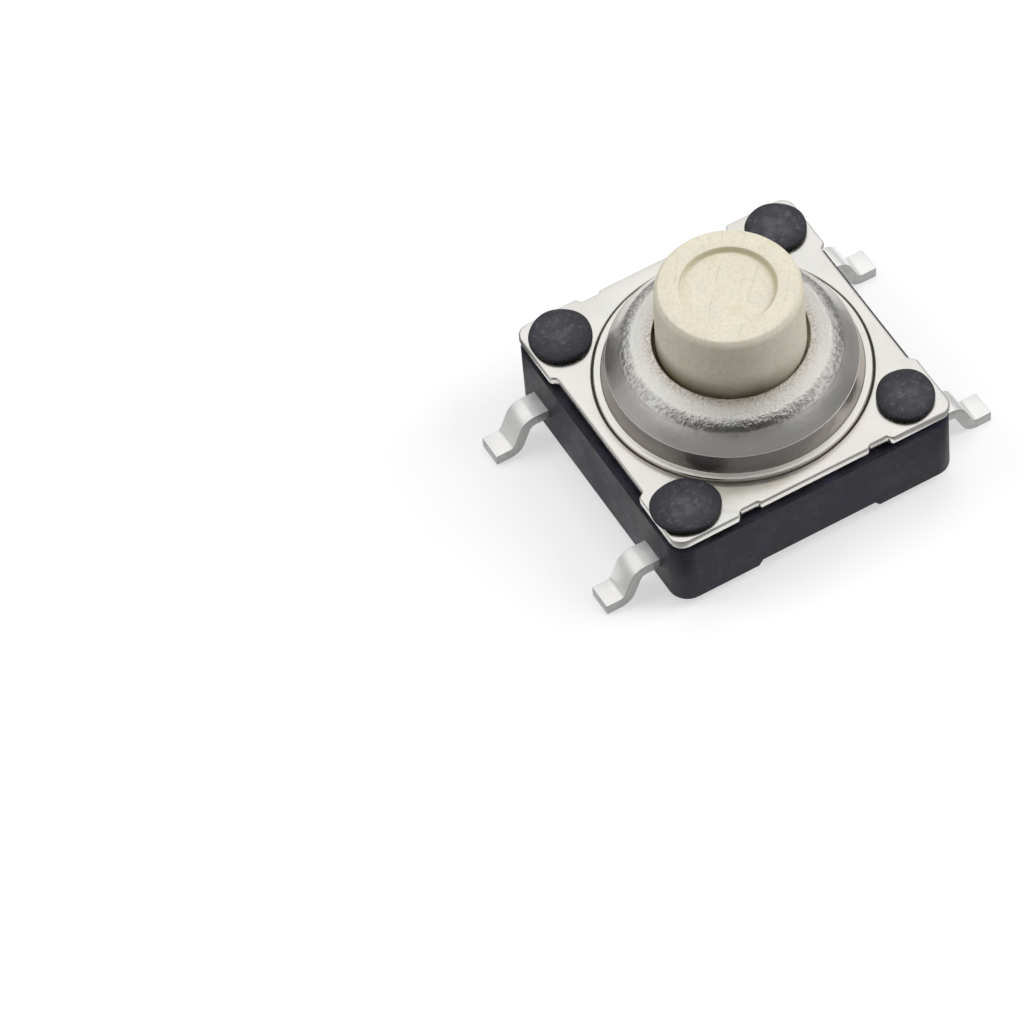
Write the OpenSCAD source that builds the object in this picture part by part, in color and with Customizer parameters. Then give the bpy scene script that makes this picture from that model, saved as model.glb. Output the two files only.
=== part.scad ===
// Sealed surface-mount tactile push button switch, in millimetres.
// The origin is on the board, under the middle of the housing. The leads leave on the left and right (X),
// the button moves along Z.

/* [Housing] */
// How far the housing's walls stand out past the cover
housing_overhang = 0.02; // [0.01:0.01:0.2]
// Radius of the housing's upright corners
housing_corner_r = 0.41; // [0.2:0.01:0.6]
// Height of the housing's underside above the board
standoff = 0.2; // [0.1:0.01:0.3]
// Width of the channel along the underside
channel_w = 2.52; // [1.6:0.02:3]
// Height of the channel along the underside
channel_h = 0.13; // [0.05:0.01:0.25]
// Radial clearance of the snap dome in the housing's round well
snap_fit = 0.05; // [0.03:0.01:0.1]
// Thickness of the plastic skin over the contact strips
floor_skin = 0.05; // [0.03:0.01:0.08]
// Depth of the step that leaves a gap under the cover's edge
rim_drop = 0.05; // [0.02:0.01:0.1]
// Width of the step that leaves a gap under the cover's edge
rim_step_w = 0.27; // [0.15:0.01:0.3]

/* [Cover] */
// Flat margin between the groove round the dome and the cover's straight edges
edge_margin = 0.35; // [0.25:0.01:0.6]
// Height of the cover plate's top face above the board
cover_top_z = 2.07; // [2.02:0.01:2.26]
// Thickness of the cover plate
cover_t = 0.2; // [0.12:0.01:0.24]
// Radius of the cover plate's corners
cover_corner_r = 0.28; // [0.1:0.01:0.4]
// Width of the middle tab on the front and back edges
tab_w = 2.48; // [2:0.02:2.8]
// How far the middle tab lies back from the corner ears
tab_setback = 0.05; // [0.02:0.01:0.1]
// Width of the relief notches beside the middle tab
notch_w = 0.39; // [0.2:0.01:0.45]
// Depth of the relief notches from the corner ears' edge
notch_depth = 0.11; // [0.08:0.01:0.2]
// Run of the sloped ends of the relief notches
notch_slope = 0.07; // [0.02:0.01:0.1]
// Length of the recess in the left and right edges
side_recess_w = 3.2; // [2.8:0.02:3.4]
// Depth of the recess in the left and right edges
side_recess_depth = 0.13; // [0.1:0.01:0.2]
// Run of the sloped ends of the side recess
side_recess_slope = 0.08; // [0.04:0.01:0.2]

/* [Drawn dome of the cover] */
// Width of the coined groove round the dome
groove_w = 0.065; // [0.04:0.005:0.08]
// Depth of the coined groove below the plate's top
groove_depth = 0.05; // [0.03:0.01:0.08]
// Width of the flat ledge between the groove and the dome
ledge_w = 0.135; // [0.08:0.005:0.2]
// Height of the flat ledge above the plate
ledge_h = 0.03; // [0.01:0.01:0.05]
// Run of the dome's steep lower wall
lower_wall_w = 0.1; // [0.04:0.01:0.2]
// Rise of the dome's steep lower wall
lower_wall_h = 0.43; // [0.3:0.01:0.5]
// Run of the dome's upper wall
upper_wall_w = 0.33; // [0.2:0.01:0.45]
// Rise of the dome's upper wall
upper_wall_h = 0.42; // [0.3:0.01:0.5]
// Run of the dome's shoulder
shoulder_w = 0.21; // [0.15:0.01:0.3]
// Rise of the dome's shoulder
shoulder_h = 0.11; // [0.06:0.01:0.15]
// Run of the crown, from the shoulder to the button's hole
crown_w = 0.39; // [0.3:0.01:0.6]
// Rise of the crown, from the shoulder to the button's hole
crown_h = 0.1; // [0:0.01:0.12]
// Thickness of the drawn metal in the dome
dome_wall_t = 0.17; // [0.1:0.01:0.19]

/* [Staked posts] */
// Distance of the posts' centres from the cover's edges
post_inset = 0.64; // [0.6:0.01:0.7]
// Diameter of the posts
post_d = 0.8; // [0.6:0.02:0.9]
// Clearance round each post in the cover
post_fit = 0.05; // [0.02:0.01:0.08]
// Diameter of the heat-formed heads
head_d = 1.26; // [1.16:0.02:1.34]
// Height of the heat-formed heads' upright sides
head_side_h = 0.1; // [0.05:0.01:0.12]
// Rise of the heat-formed heads' domed tops above their sides
head_crown_h = 0.07; // [0.03:0.01:0.1]

/* [Button] */
// Diameter of the button where it passes through the cover
button_d = 2.92; // [2.8:0.02:3.1]
// How much the button narrows from the cover to its top
button_taper = 0.06; // [0.02:0.02:0.2]
// Height of the button's top above the cover plate
button_h = 2.57; // [1.6:0.01:4]
// Radius of the rounded edge of the button's top
button_edge_r = 0.12; // [0.05:0.01:0.2]
// Diameter of the round recess in the button's top
recess_d = 1.86; // [1.4:0.02:2.1]
// Depth of the recess in the button's top
recess_depth = 0.15; // [0.05:0.01:0.3]
// Run of the recess's sloped wall
recess_slope = 0.06; // [0.02:0.01:0.1]
// Radial clearance between the button and the cover's hole
button_fit = 0.06; // [0.03:0.01:0.08]
// Thickness of the flange that keeps the button under the cover
flange_t = 0.35; // [0.25:0.01:0.45]
// How far the flange's edge lies inside the dome's shoulder
flange_inset = 0.06; // [0.04:0.01:0.1]
// Clearance between the flange and the inside of the cover at rest
stop_gap = 0.05; // [0.03:0.01:0.08]
// Diameter of the stem that presses on the rubber
stem_d = 1.5; // [1:0.02:1.6]
// Travel of the button
travel = 0.25; // [0.15:0.01:0.27]

/* [Rubber seal] */
// How far the inside of the seal's rim lies back from the well
seal_setback = 0.05; // [0.02:0.01:0.08]
// Width of the seal's rim
seal_rim_w = 0.57; // [0.5:0.01:0.6]
// Radial clearance of the seal's rim in the housing
seal_fit = 0.03; // [0.02:0.01:0.05]
// Thickness of the seal's rim
seal_rim_t = 0.35; // [0.32:0.01:0.36]
// Thickness of the seal's web and centre
seal_web_t = 0.12; // [0.08:0.01:0.13]
// Height of the web's underside above the rim's underside
web_rise = 0.08; // [0.04:0.01:0.12]
// Radius of the seal's flat centre
seal_centre_r = 0.95; // [0.85:0.01:1.1]

/* [Snap dome] */
// Radius of the snap dome
snap_r = 1.95; // [1.9:0.01:1.96]
// Thickness of the snap dome
snap_t = 0.07; // [0.04:0.01:0.08]
// Gap left over the centre contact when the snap dome is pressed fully
snap_rest_gap = 0.01; // [0.01:0.01:0.03]
// Gap between the snap dome, the seal and the button's stem at rest
stack_gap = 0.02; // [0.01:0.01:0.03]

/* [Contact strips and leads] */
// Thickness of the strips and leads
strip_t = 0.24; // [0.12:0.01:0.26]
// Height of the strips' underside above the board
strip_z = 0.65; // [0.6:0.01:0.69]
// Width of the leads
lead_w = 0.56; // [0.5:0.01:0.8]
// Distance between the two leads on one side
lead_pitch = 4.24; // [4.1:0.02:4.3]
// Straight stretch of a lead between the housing wall and its bend
lead_shoulder = 0.3; // [0.2:0.01:0.4]
// Inner radius of a lead's upper bend
upper_bend_r = 0.14; // [0.06:0.01:0.24]
// Inner radius of a lead's lower bend
lower_bend_r = 0.12; // [0.06:0.01:0.16]
// Lean of a lead's leg from upright, in degrees
leg_lean = 23; // [10:1:28]
// Length of the flat foot past its bend
foot_len = 0.31; // [0.2:0.01:0.8]
// Width of the tab that runs to the centre contact
centre_tab_w = 0.8; // [0.6:0.02:1]
// Radius of the centre contact
centre_contact_r = 0.4; // [0.3:0.01:0.5]
// Height of the centre contact above the well's floor
centre_contact_h = 0.03; // [0.02:0.01:0.05]
// Distance of the outer contacts' centres inside the snap dome's edge
side_contact_inset = 0.23; // [0.2:0.01:0.26]
// Radius of the outer contacts
side_contact_r = 0.3; // [0.26:0.01:0.32]
// Clearance round each contact in the plastic skin
window_fit = 0.02; // [0.01:0.01:0.04]

/* [Hidden] */
$fn = 96;

// How far a cut reaches past the face it opens
cut = 0.5;
// Steps along each bend of a lead
bend_steps = 8;

// The dome's radii follow outwards from the button, and the cover and housing from the dome
hole_r = button_d / 2 + button_fit;
crown_r = hole_r + crown_w;
shoulder_r = crown_r + shoulder_w;
waist_r = shoulder_r + upper_wall_w;
foot_r = waist_r + lower_wall_w;
groove_r = foot_r + ledge_w + groove_w;
cover_w = 2 * (groove_r + edge_margin);
housing_w = cover_w + 2 * housing_overhang;

waist_z = lower_wall_h;
shoulder_z = waist_z + upper_wall_h;
crown_z = shoulder_z + shoulder_h;
hole_z = crown_z + crown_h;

cover_bottom_z = cover_top_z - cover_t;
rim_z = cover_bottom_z - rim_drop;
strip_top_z = strip_z + strip_t;
floor_z = strip_top_z + floor_skin;
seal_shelf_z = cover_bottom_z - seal_rim_t;

// The dome clears the centre contact when the button is fully down
snap_rise = travel + centre_contact_h + snap_rest_gap;
snap_top_z = floor_z + snap_rise + snap_t;
seal_centre_z = snap_top_z + stack_gap;
stem_z = seal_centre_z + seal_web_t + stack_gap;

button_top_z = cover_top_z + button_h;
flange_top_z = cover_top_z + crown_z - dome_wall_t - stop_gap;
flange_z = flange_top_z - flange_t;
flange_r = crown_r - flange_inset;

well_r = snap_r + snap_fit;
seal_rim_in = well_r + seal_setback;
seal_r = seal_rim_in + seal_rim_w;

lead_y = lead_pitch / 2;
post_xy = cover_w / 2 - post_inset;
side_contact_x = snap_r - side_contact_inset;
arm_w = 2 * side_contact_r;

// Colours, as the photograph shows them
black_plastic = [0.21, 0.21, 0.23];
plated_steel = [0.86, 0.84, 0.78];
ivory_plastic = [0.88, 0.85, 0.76];
dark_rubber = [0.16, 0.16, 0.17];
spring_steel = [0.72, 0.72, 0.7];
tinned_metal = [0.8, 0.79, 0.76];

// Points of an arc round centre c, from angle a to angle b
function arc(c, r, a, b) =
    [for (i = [0:bend_steps]) let (w = a + (b - a) * i / bend_steps) c + r * [cos(w), sin(w)]];

// Unit normal on the right-hand side of the way from p to q
function side_normal(p, q) = let (d = (q - p) / norm(q - p)) [d.y, -d.x];

// Moves an open profile sideways by t, square to each of its stretches
function inset(p, t) = [for (i = [0:len(p) - 1]) let (
    m = side_normal(p[max(i - 1, 0)], p[max(i, 1)]),
    n = side_normal(p[min(i, len(p) - 2)], p[min(i + 1, len(p) - 1)])
) p[i] + t * (m + n) / (1 + m * n)];

module rounded_square(w, r) {
    square([w, w - 2 * r], center = true);
    square([w - 2 * r, w], center = true);
    for (x = [-1, 1], y = [-1, 1]) translate([x, y] * (w / 2 - r)) circle(r);
}

module at_posts() {
    for (x = [-1, 1], y = [-1, 1]) translate([x * post_xy, y * post_xy]) children();
}

// Housing: one black moulding, with the posts that are formed over the cover

module housing_block() {
    translate([0, 0, standoff]) linear_extrude(rim_z - standoff)
        rounded_square(housing_w, housing_corner_r);
    translate([0, 0, rim_z]) linear_extrude(rim_drop)
        rounded_square(housing_w - 2 * rim_step_w, housing_corner_r);
}

// A post through the cover, with the low round head that the hot tool leaves on it
module staked_post() {
    r = head_d / 2;
    cap_r = (pow(r, 2) + pow(head_crown_h, 2)) / (2 * head_crown_h);
    translate([0, 0, rim_z]) cylinder(d = post_d, h = cover_top_z - rim_z + head_side_h / 2);
    translate([0, 0, cover_top_z]) rotate_extrude() {
        square([r, head_side_h]);
        translate([0, head_side_h]) intersection() {
            translate([0, head_crown_h - cap_r]) circle(cap_r);
            square([r, head_crown_h]);
        }
    }
}

// Openings in the well's floor for the three contacts
module contact_windows() {
    translate([0, 0, strip_top_z]) linear_extrude(floor_skin) {
        circle(centre_contact_r + window_fit);
        for (x = [-1, 1] * side_contact_x) translate([x, 0]) circle(side_contact_r + window_fit);
    }
}

module base_housing() color(black_plastic) {
    difference() {
        housing_block();
        translate([0, 0, floor_z]) cylinder(r = well_r, h = cover_top_z);
        translate([0, 0, seal_shelf_z]) cylinder(r = seal_r + seal_fit, h = cover_top_z);
        translate([-channel_w / 2, -housing_w, standoff - cut])
            cube([channel_w, 2 * housing_w, cut + channel_h]);
        contact_windows();
        translate([0, 0, strip_z]) linear_extrude(strip_t) {
            centre_strip_plan(housing_w);
            side_strip_plan(housing_w);
        }
    }
    at_posts() staked_post();
}

// Cover: one sheet-metal pressing with a drawn dome

module cover_outline() difference() {
    rounded_square(cover_w, cover_corner_r);
    for (side = [0, 1]) {
        mirror([side, 0]) rotate(-90) edge_cut(0, side_recess_w, side_recess_depth, side_recess_slope);
        mirror([0, side]) {
            edge_cut(0, tab_w, tab_setback, 0);
            for (x = [-1, 1] * (tab_w + notch_w) / 2) edge_cut(x, notch_w, notch_depth, notch_slope);
        }
    }
}

// A cut from the back edge inwards, centred on x, of length w at its bottom, with sloped ends
module edge_cut(x, w, depth, slope) {
    y = cover_w / 2;
    spread = w / 2 + slope * (depth + cut) / depth;
    polygon([
        [x - w / 2, y - depth], [x + w / 2, y - depth], [x + spread, y + cut], [x - spread, y + cut],
    ]);
}

// Outer face of the drawn dome from its foot to its middle, heights above the plate
dome_profile =
    [[foot_r, 0], [waist_r, waist_z], [shoulder_r, shoulder_z], [crown_r, crown_z], [hole_r, hole_z]];
dome_inside = inset(dome_profile, -dome_wall_t);

module dome_block() rotate_extrude() {
    polygon(concat([[0, 0]], dome_profile, [[0, hole_z]]));
    square([groove_r - groove_w, ledge_h]);
}

module dome_hollow() rotate_extrude() {
    foot = dome_inside[0];
    polygon(concat(
        [[0, -cover_t - cut], [foot.x, -cover_t - cut]],
        dome_inside,
        [[0, hole_z - dome_wall_t]]
    ));
    square([hole_r, hole_z + cut]);
}

module coined_groove() rotate_extrude() polygon([
    [groove_r, 0],
    [groove_r - groove_w / 2, -groove_depth],
    [groove_r - groove_w, 0],
    [groove_r - groove_w, cut],
    [groove_r, cut],
]);

module cover_plate() color(plated_steel) difference() {
    union() {
        translate([0, 0, cover_bottom_z]) linear_extrude(cover_t) cover_outline();
        translate([0, 0, cover_top_z]) dome_block();
    }
    translate([0, 0, cover_top_z]) {
        dome_hollow();
        coined_groove();
    }
    translate([0, 0, cover_bottom_z - cut]) at_posts()
        cylinder(d = post_d + 2 * post_fit, h = cover_t + 2 * cut);
}

// Button: a moulded plunger with a flange and a stem

module button_profile() {
    r = (button_d - button_taper) / 2;
    polygon([
        [0, flange_top_z], [button_d / 2, flange_top_z],
        [r, button_top_z - button_edge_r], [0, button_top_z - button_edge_r],
    ]);
    translate([r - button_edge_r, button_top_z - button_edge_r]) intersection() {
        circle(button_edge_r);
        square(button_edge_r);
    }
    translate([0, button_top_z - button_edge_r]) square([r - button_edge_r, button_edge_r]);
}

module button() color(ivory_plastic) difference() {
    union() {
        rotate_extrude() button_profile();
        translate([0, 0, flange_z]) cylinder(r = flange_r, h = flange_t);
        translate([0, 0, stem_z]) cylinder(d = stem_d, h = flange_z - stem_z + flange_t / 2);
    }
    translate([0, 0, button_top_z - recess_depth]) rotate_extrude() polygon([
        [0, 0], [recess_d / 2 - recess_slope, 0], [recess_d / 2, recess_depth], [0, recess_depth],
    ]);
}

// Rubber seal: a rim clamped under the cover, with a thin web down to the middle of the snap dome

module seal_rubber() color(dark_rubber) rotate_extrude() {
    web_z = seal_shelf_z + web_rise;
    polygon([
        [0, seal_centre_z], [seal_centre_r, seal_centre_z],
        [seal_rim_in, web_z], [seal_rim_in, seal_shelf_z],
        [seal_r, seal_shelf_z], [seal_r, cover_bottom_z], [seal_rim_in, cover_bottom_z],
        [seal_rim_in, web_z + seal_web_t], [seal_centre_r, seal_centre_z + seal_web_t],
        [0, seal_centre_z + seal_web_t],
    ]);
}

// Snap dome: a thin domed disc that stands on the outer contacts

module snap_dome() color(spring_steel) {
    inner_r = (pow(snap_r, 2) + pow(snap_rise, 2)) / (2 * snap_rise);
    translate([0, 0, floor_z]) rotate_extrude() intersection() {
        translate([0, snap_rise - inner_r]) difference() {
            circle(inner_r + snap_t);
            circle(inner_r);
        }
        square([snap_r, snap_rise + snap_t]);
    }
}

// Contact strips: stamped and bent metal, moulded into the housing

module centre_strip_plan(length) {
    translate([-length / 2, lead_y - lead_w / 2]) square([length, lead_w]);
    translate([-centre_tab_w / 2, -centre_contact_r]) square([centre_tab_w, lead_y + centre_contact_r]);
}

module side_strip_plan(length) {
    translate([-length / 2, -lead_y - lead_w / 2]) square([length, lead_w]);
    for (x = [-1, 1]) translate([x * side_contact_x - arm_w / 2, -lead_y])
        square([arm_w, lead_y + side_contact_r]);
}

// Side view of one gull-wing lead, from the housing wall out to its tip
function lead_profile() = let (
    upper_r = upper_bend_r + strip_t,
    upper = [housing_w / 2 + lead_shoulder, strip_top_z - upper_r],
    leg_start = upper + upper_r * [cos(leg_lean), sin(leg_lean)],
    leg_end_z = strip_t + lower_bend_r * (1 - sin(leg_lean)),
    leg_end_x = leg_start.x + (leg_start.y - leg_end_z) * tan(leg_lean),
    lower = [leg_end_x + lower_bend_r * cos(leg_lean), strip_t + lower_bend_r],
    tip = lower.x + foot_len
) concat(
    [[0, strip_top_z]],
    arc(upper, upper_r, 90, leg_lean),
    arc(lower, lower_bend_r, 180 + leg_lean, 270),
    [[tip, strip_t], [tip, 0]],
    arc(lower, lower_bend_r + strip_t, 270, 180 + leg_lean),
    arc(upper, upper_bend_r, leg_lean, 90),
    [[0, strip_z]]
);

module leads(y) {
    for (side = [0, 1]) mirror([side, 0, 0]) translate([0, y + lead_w / 2, 0]) rotate([90, 0, 0])
        linear_extrude(lead_w) polygon(lead_profile());
}

module contact_strip_centre() color(tinned_metal) {
    leads(lead_y);
    translate([0, 0, strip_z]) linear_extrude(strip_t) centre_strip_plan(housing_w);
    translate([0, 0, strip_z]) cylinder(r = centre_contact_r, h = floor_z + centre_contact_h - strip_z);
}

module contact_strip_side() color(tinned_metal) {
    leads(-lead_y);
    translate([0, 0, strip_z]) linear_extrude(strip_t) side_strip_plan(housing_w);
    for (x = [-1, 1]) translate([x * side_contact_x, 0, strip_z])
        cylinder(r = side_contact_r, h = floor_z - strip_z);
}

base_housing();
cover_plate();
button();
seal_rubber();
snap_dome();
contact_strip_centre();
contact_strip_side();
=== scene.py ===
import math

import bmesh
import bpy
from mathutils import Matrix, Vector


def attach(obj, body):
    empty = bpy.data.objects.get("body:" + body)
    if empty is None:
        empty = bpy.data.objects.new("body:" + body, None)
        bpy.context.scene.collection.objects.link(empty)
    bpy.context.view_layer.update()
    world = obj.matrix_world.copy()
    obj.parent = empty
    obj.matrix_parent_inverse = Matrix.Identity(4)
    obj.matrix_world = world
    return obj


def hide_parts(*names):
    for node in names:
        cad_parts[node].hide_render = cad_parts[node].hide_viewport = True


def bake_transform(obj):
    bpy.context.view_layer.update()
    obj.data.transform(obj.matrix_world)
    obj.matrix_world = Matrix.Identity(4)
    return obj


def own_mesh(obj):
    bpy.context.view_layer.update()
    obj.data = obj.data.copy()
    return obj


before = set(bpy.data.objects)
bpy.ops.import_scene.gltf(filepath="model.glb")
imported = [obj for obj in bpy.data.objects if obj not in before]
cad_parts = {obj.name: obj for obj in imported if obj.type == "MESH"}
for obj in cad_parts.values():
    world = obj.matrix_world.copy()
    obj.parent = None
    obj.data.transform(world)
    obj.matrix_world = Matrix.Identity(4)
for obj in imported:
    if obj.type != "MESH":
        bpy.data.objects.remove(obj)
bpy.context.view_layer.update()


# Camera
# A long lens looks down on the switch from the front left, with the picture turned a little.
# The switch stands right of the middle of the picture, as it does in the photograph.

azimuth = math.radians(-25.247)
elevation = math.radians(53.419)
roll = math.radians(-5.869)
distance = 0.14001
focal_px = 7274.4
picture_px = 1024
plate_middle = Vector((0, 0, 0.00207))
plate_middle_px = Vector((732.85, 368.17))

back = Vector((
    math.sin(azimuth) * math.cos(elevation),
    -math.cos(azimuth) * math.cos(elevation),
    math.sin(elevation),
))
level_right = Vector((math.cos(azimuth), math.sin(azimuth), 0))
level_up = back.cross(level_right)
right = math.cos(roll) * level_right + math.sin(roll) * level_up
up = math.cos(roll) * level_up - math.sin(roll) * level_right
across = (plate_middle_px.x - picture_px / 2) / focal_px * distance
down = (plate_middle_px.y - picture_px / 2) / focal_px * distance

lens = bpy.data.cameras.new("camera")
lens.sensor_width = 36
lens.lens = focal_px / picture_px * lens.sensor_width
lens.clip_start = 0.001
lens.clip_end = 10
camera = bpy.data.objects.new("camera", lens)
turn = Matrix((right, up, back)).transposed().to_4x4()
stand = plate_middle + back * distance - right * across + up * down
camera.matrix_world = Matrix.Translation(stand) @ turn
bpy.context.collection.objects.link(camera)
bpy.context.scene.camera = camera


# Housing
# One black moulding of glass-filled nylon with a satin skin. It has a round well for the works, a low
# step round its top and a shallow channel underneath. The contact strips are moulded into its walls.

housing_w = 6.24
housing_corner_r = 0.41
standoff = 0.2
rim_z = 1.76
rim_round = 0.045
seat_z = 1.87
rim_step_w = 0.27
well_r = 2.0
well_floor_z = 0.94
seal_shelf_z = 1.52
seal_seat_r = 2.65
channel_half = 1.26
channel_slope = 0.1
channel_h = 0.13
strip_z = 0.65
strip_t = 0.24
lead_w = 0.56
lead_y = 2.12
contact_x = 1.72
contact_r = 0.3
middle_contact_r = 0.4
window_fit = 0.02
window_low_z = strip_z + strip_t / 2
window_high_z = well_floor_z + 0.1
# Where the tools end that cut through the top and the walls
above_top = 3
past_walls = 4
# How close two places lie that count as one
near = 0.01
weld = 0.0004
# An edge that turns by more than this stays crisp
crisp_angle = math.radians(35)


def tree_node(tree, kind, inputs, **settings):
    made = tree.nodes.new(kind)
    for key, value in settings.items():
        setattr(made, key, value)
    for socket, value in inputs.items():
        if isinstance(value, bpy.types.NodeSocket):
            tree.links.new(value, made.inputs[socket])
        else:
            made.inputs[socket].default_value = value
    return made


def new_material(name, roughness, metallic):
    material = bpy.data.materials.new(name)
    material.use_nodes = True
    tree = material.node_tree
    shader = tree.nodes["Principled BSDF"]
    shader.inputs["Roughness"].default_value = roughness
    shader.inputs["Metallic"].default_value = metallic
    place = tree_node(tree, "ShaderNodeTexCoord", {})
    in_mm = tree_node(tree, "ShaderNodeMapping", {
        "Vector": place.outputs["Object"], "Scale": (1000, 1000, 1000),
    })
    return material, tree, shader, in_mm.outputs[0]


def noise(tree, place, scale, detail=3, roughness=0.55):
    made = tree_node(tree, "ShaderNodeTexNoise", {
        "Vector": place, "Scale": scale, "Detail": detail, "Roughness": roughness,
    })
    return made.outputs["Fac"]


def spread(tree, value, low, high, to_low=0.0, to_high=1.0, kind="SMOOTHSTEP"):
    made = tree_node(tree, "ShaderNodeMapRange", {
        "Value": value, "From Min": low, "From Max": high, "To Min": to_low, "To Max": to_high,
    }, interpolation_type=kind)
    return made.outputs["Result"]


def calculate(tree, operation, a, b=0.0):
    return tree_node(tree, "ShaderNodeMath", {0: a, 1: b}, operation=operation).outputs[0]


def times(tree, a, b):
    return calculate(tree, "MULTIPLY", a, b)


def vector_step(tree, operation, a, b=(0, 0, 0)):
    return tree_node(tree, "ShaderNodeVectorMath", {0: a, 1: b}, operation=operation)


def mix_colours(tree, share, a, b):
    return tree_node(tree, "ShaderNodeMix", {0: share, 6: a, 7: b}, data_type="RGBA").outputs[2]


def bump(tree, height, depth_mm, under=None):
    made = tree_node(tree, "ShaderNodeBump", {
        "Height": height, "Distance": depth_mm / 1000, "Strength": 1.0,
    })
    if under is not None:
        tree.links.new(under, made.inputs["Normal"])
    return made.outputs["Normal"]


def add_object(name, bm):
    mesh = bpy.data.meshes.new(name)
    bm.to_mesh(mesh)
    bm.free()
    made = bpy.data.objects.new(name, mesh)
    bpy.context.collection.objects.link(made)
    return made


# Cuts or joins round and square tools into a blank, all still in millimetres
def machine(blank, tools, operation):
    made = add_object("blank", blank)
    for tool in tools:
        cutter = add_object("tool", tool)
        step = made.modifiers.new("step", "BOOLEAN")
        step.operation = operation
        step.solver = "EXACT"
        step.object = cutter
        result = bmesh.new()
        result.from_object(made, bpy.context.evaluated_depsgraph_get())
        made.modifiers.clear()
        result.to_mesh(made.data)
        result.free()
        bpy.data.objects.remove(cutter)
    bm = bmesh.new()
    bm.from_mesh(made.data)
    bpy.data.objects.remove(made)
    return bm


# Turns a blank in millimetres into a finished piece in metres, with its sharper edges left crisp
def finish_piece(name, bm, material, node):
    bmesh.ops.remove_doubles(bm, verts=bm.verts, dist=weld)
    bmesh.ops.recalc_face_normals(bm, faces=bm.faces)
    bmesh.ops.scale(bm, vec=(0.001, 0.001, 0.001), verts=bm.verts)
    for face in bm.faces:
        face.smooth = True
    for edge in bm.edges:
        edge.smooth = len(edge.link_faces) == 2 and edge.calc_face_angle(0) < crisp_angle
    piece = add_object(name, bm)
    piece.data.materials.append(material)
    weights = piece.modifiers.new("even shading", "WEIGHTED_NORMAL")
    weights.keep_sharp = True
    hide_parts(node)
    return piece


def disc_tool(x, y, r, low, high, steps=96):
    bm = bmesh.new()
    bmesh.ops.create_cone(bm, cap_ends=True, segments=steps, radius1=r, radius2=r, depth=high - low)
    bmesh.ops.translate(bm, vec=(x, y, (low + high) / 2), verts=bm.verts)
    return bm


def block_tool(low, high):
    bm = bmesh.new()
    bmesh.ops.create_cube(bm, size=1)
    size = Vector(high) - Vector(low)
    bmesh.ops.scale(bm, vec=size, verts=bm.verts)
    bmesh.ops.translate(bm, vec=Vector(low) + size / 2, verts=bm.verts)
    return bm


plastic, tree, shader, place = new_material("black nylon", 0.45, 0)
shader.inputs["Specular IOR Level"].default_value = 0.2
cloud = noise(tree, place, 0.9, 5, 0.65)
patches = spread(tree, noise(tree, place, 2.4, 4, 0.6), 0.45, 0.62)
flecks = spread(tree, noise(tree, place, 7, 3, 0.6), 0.56, 0.7)
grain = noise(tree, place, 18, 3, 0.6)
clouded = spread(tree, cloud, 0.3, 0.7)
colour = mix_colours(tree, clouded, (0.0085, 0.008, 0.0125, 1), (0.034, 0.032, 0.042, 1))
colour = mix_colours(tree, times(tree, patches, 0.5), colour, (0.032, 0.033, 0.06, 1))
colour = mix_colours(tree, times(tree, flecks, 0.28), colour, (0.075, 0.073, 0.082, 1))
tree.links.new(colour, shader.inputs["Base Color"])
tree.links.new(spread(tree, cloud, 0.3, 0.7, 0.36, 0.56), shader.inputs["Roughness"])
tree.links.new(bump(tree, grain, 0.003, bump(tree, flecks, 0.003)), shader.inputs["Normal"])

bm = block_tool((-housing_w / 2, -housing_w / 2, standoff), (housing_w / 2, housing_w / 2, rim_z))
uprights = [e for e in bm.edges if abs(e.verts[0].co.z - e.verts[1].co.z) > 1]
bmesh.ops.bevel(
    bm, geom=uprights, offset=housing_corner_r, segments=10, profile=0.5, affect="EDGES", material=-1,
)
bm.faces.ensure_lookup_table()
top = max(bm.faces, key=lambda f: f.calc_center_median().z)
bmesh.ops.inset_region(bm, faces=[top], thickness=rim_step_w, use_even_offset=True)
seat = bmesh.ops.extrude_face_region(bm, geom=[top])["geom"]
bmesh.ops.delete(bm, geom=[top], context="FACES_ONLY")
seat_corners = [v for v in seat if isinstance(v, bmesh.types.BMVert)]
bmesh.ops.translate(bm, vec=(0, 0, seat_z - rim_z), verts=seat_corners)
outer_edges = [
    e for e in bm.edges
    if abs(e.verts[0].co.z - e.verts[1].co.z) < near and e.calc_face_angle(0) > 1
    and e.verts[0].co.z < seat_z - near
    and max(abs(c) for v in e.verts for c in v.co.xy) > housing_w / 2 - rim_step_w + near
]
bmesh.ops.bevel(
    bm, geom=outer_edges, offset=rim_round, segments=4, profile=0.5, affect="EDGES", material=-1,
)
for x in (-channel_half - channel_slope, -channel_half, channel_half, channel_half + channel_slope):
    everything = bm.verts[:] + bm.edges[:] + bm.faces[:]
    bmesh.ops.bisect_plane(bm, geom=everything, plane_co=(x, 0, 0), plane_no=(1, 0, 0))
underside = [
    v for v in bm.verts
    if abs(v.co.x) < channel_half + near and v.co.z < standoff + rim_round + near
]
bmesh.ops.translate(bm, vec=(0, 0, channel_h), verts=underside)

tools = [
    disc_tool(0, 0, well_r, well_floor_z, above_top),
    disc_tool(0, 0, seal_seat_r, seal_shelf_z, above_top),
    disc_tool(0, 0, middle_contact_r + window_fit, window_low_z, window_high_z, 48),
    disc_tool(-contact_x, 0, contact_r + window_fit, window_low_z, window_high_z, 48),
    disc_tool(contact_x, 0, contact_r + window_fit, window_low_z, window_high_z, 48),
]
for y in (-lead_y, lead_y):
    low = (-past_walls, y - lead_w / 2, strip_z)
    high = (past_walls, y + lead_w / 2, strip_z + strip_t)
    tools.append(block_tool(low, high))
bm = machine(bm, tools, "DIFFERENCE")
housing = finish_piece("housing_moulding", bm, plastic, "base_housing")
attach(housing, "housing")


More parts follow.
